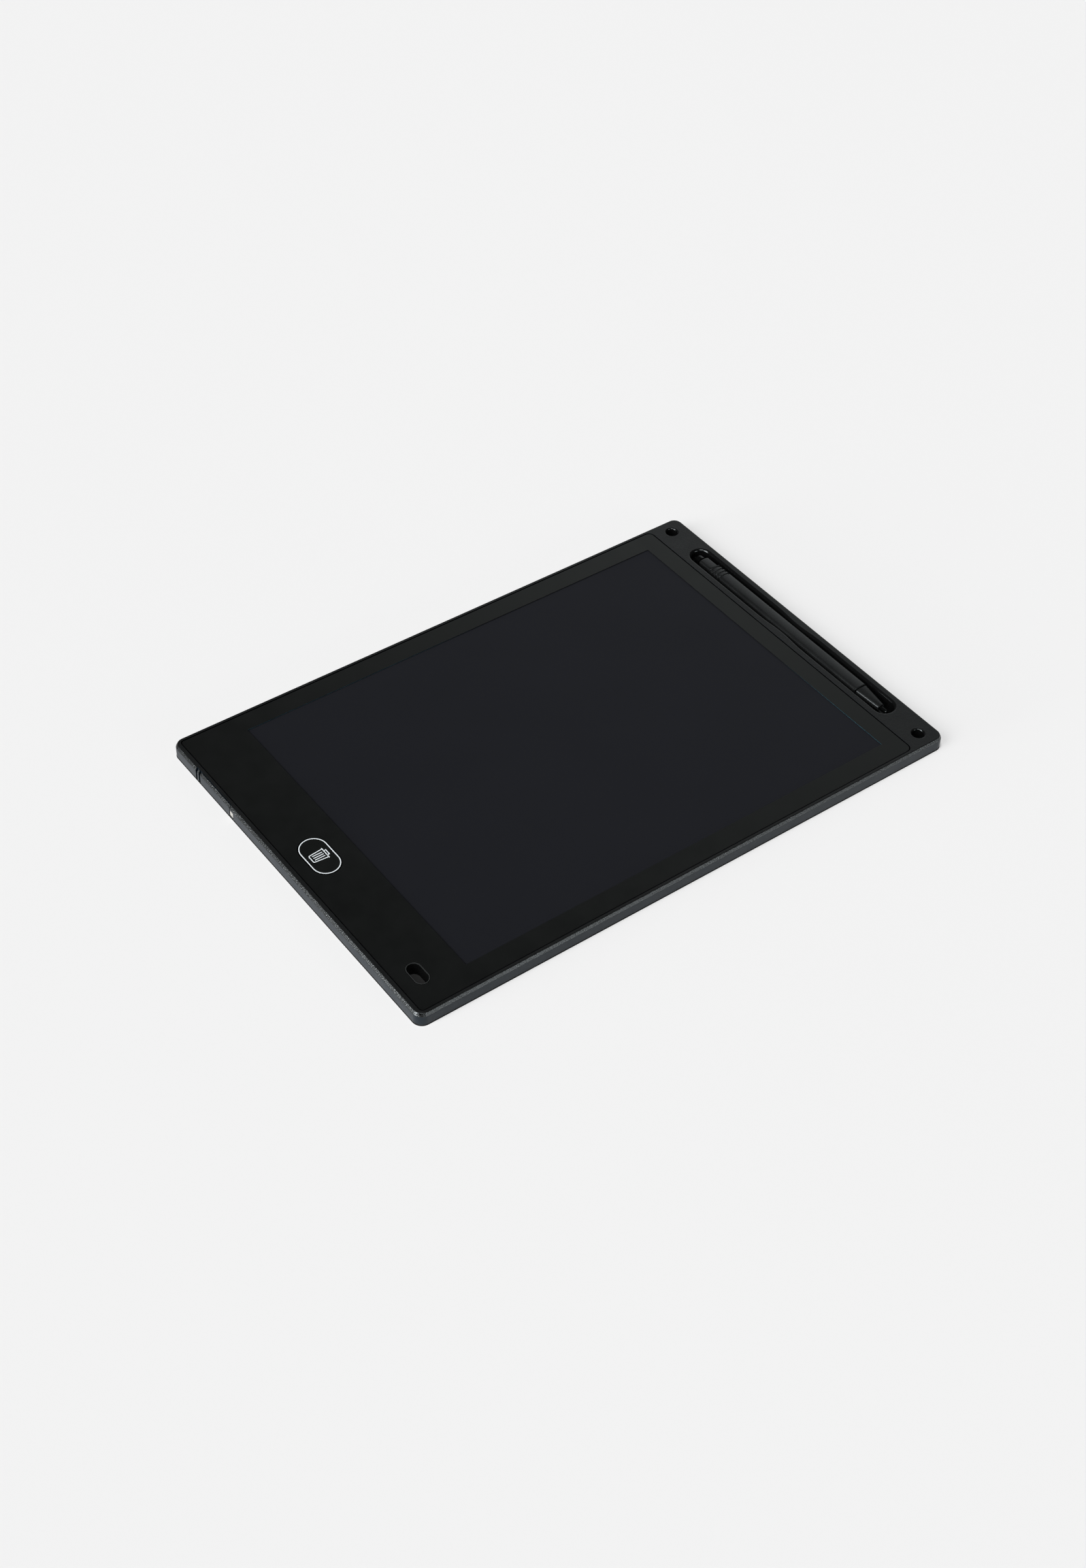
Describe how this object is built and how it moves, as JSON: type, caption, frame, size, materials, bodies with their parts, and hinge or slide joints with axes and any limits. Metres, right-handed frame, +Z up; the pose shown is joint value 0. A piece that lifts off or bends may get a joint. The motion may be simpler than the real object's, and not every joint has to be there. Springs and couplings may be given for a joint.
{
  "type": "lcd writing tablet",
  "caption": "Thin rectangular LCD writing tablet with a stylus in a slot of its top bar, an oval erase key, a lanyard hole and a coin cell drawer in its lower side.",
  "frame": {"origin": "centre of the tablet's outline, on the surface that it lies on", "axes": "+Z up out of the writing face, +Y along the tablet towards the stylus bar, +X to the right as it is read"},
  "size_m": [0.147, 0.2182, 0.0053],
  "materials": {
    "case_plastic": "fine moulded grain, black",
    "cover_plastic": "moulded grain, black",
    "border_film": "smooth satin film, black",
    "lcd": "satin writing film, near black",
    "adhesive": "adhesive tape, off-white",
    "backing": "matt sheet, black",
    "key_plastic": "satin, black with a printed pale ring and bin",
    "stylus_plastic": "satin, black",
    "stylus_gloss": "gloss, black",
    "board": "glass-epoxy board, green",
    "chip_plastic": "moulded package, black",
    "ceramic": "satin, tan",
    "flex": "polyimide ribbon, amber",
    "contact_metal": "plated spring strip",
    "cell_metal": "satin steel can",
    "screw_metal": "plain steel"
  },
  "bodies": {
    "tablet": {"front_housing": "case_plastic", "rear_cover": "cover_plastic", "border_mask": "border_film", "lcd_film": "lcd", "adhesive_frame": "adhesive", "backing_sheet": "backing", "circuit_board": "board", "switch_body": "chip_plastic", "switch_cover": "contact_metal", "driver_chip": "chip_plastic", "boost_coil": "chip_plastic", "capacitor_1": "ceramic", "capacitor_2": "ceramic", "resistor_1": "chip_plastic", "resistor_2": "chip_plastic", "board_screw_1": "screw_metal", "board_screw_2": "screw_metal", "flex_tail": "flex", "face_contact": "contact_metal", "rim_contact": "contact_metal"},
    "erase_key": {"erase_key": "key_plastic", "switch_plunger": "ceramic"},
    "battery_drawer": {"battery_drawer": "case_plastic", "coin_cell": "cell_metal"},
    "stylus": {"stylus_barrel": "stylus_plastic", "stylus_tail_cap": "stylus_plastic", "stylus_tail_plug": "stylus_gloss", "stylus_nose_cone": "stylus_plastic", "stylus_nib": "stylus_gloss"}
  },
  "joints": [
    {"name": "erase_key_press", "type": "slide", "parent": "tablet", "child": "erase_key", "axis": [0, 0, -1], "range_m": [0, 0.0003], "stiffness_N_per_m": 2000},
    {"name": "battery_drawer_slide", "type": "slide", "parent": "tablet", "child": "battery_drawer", "axis": [0, -1, 0], "range_m": [0, 0.026]},
    {"name": "stylus_lift", "type": "slide", "parent": "tablet", "child": "stylus", "axis": [0, 0, 1], "range_m": [0, 0.02]}
  ]
}
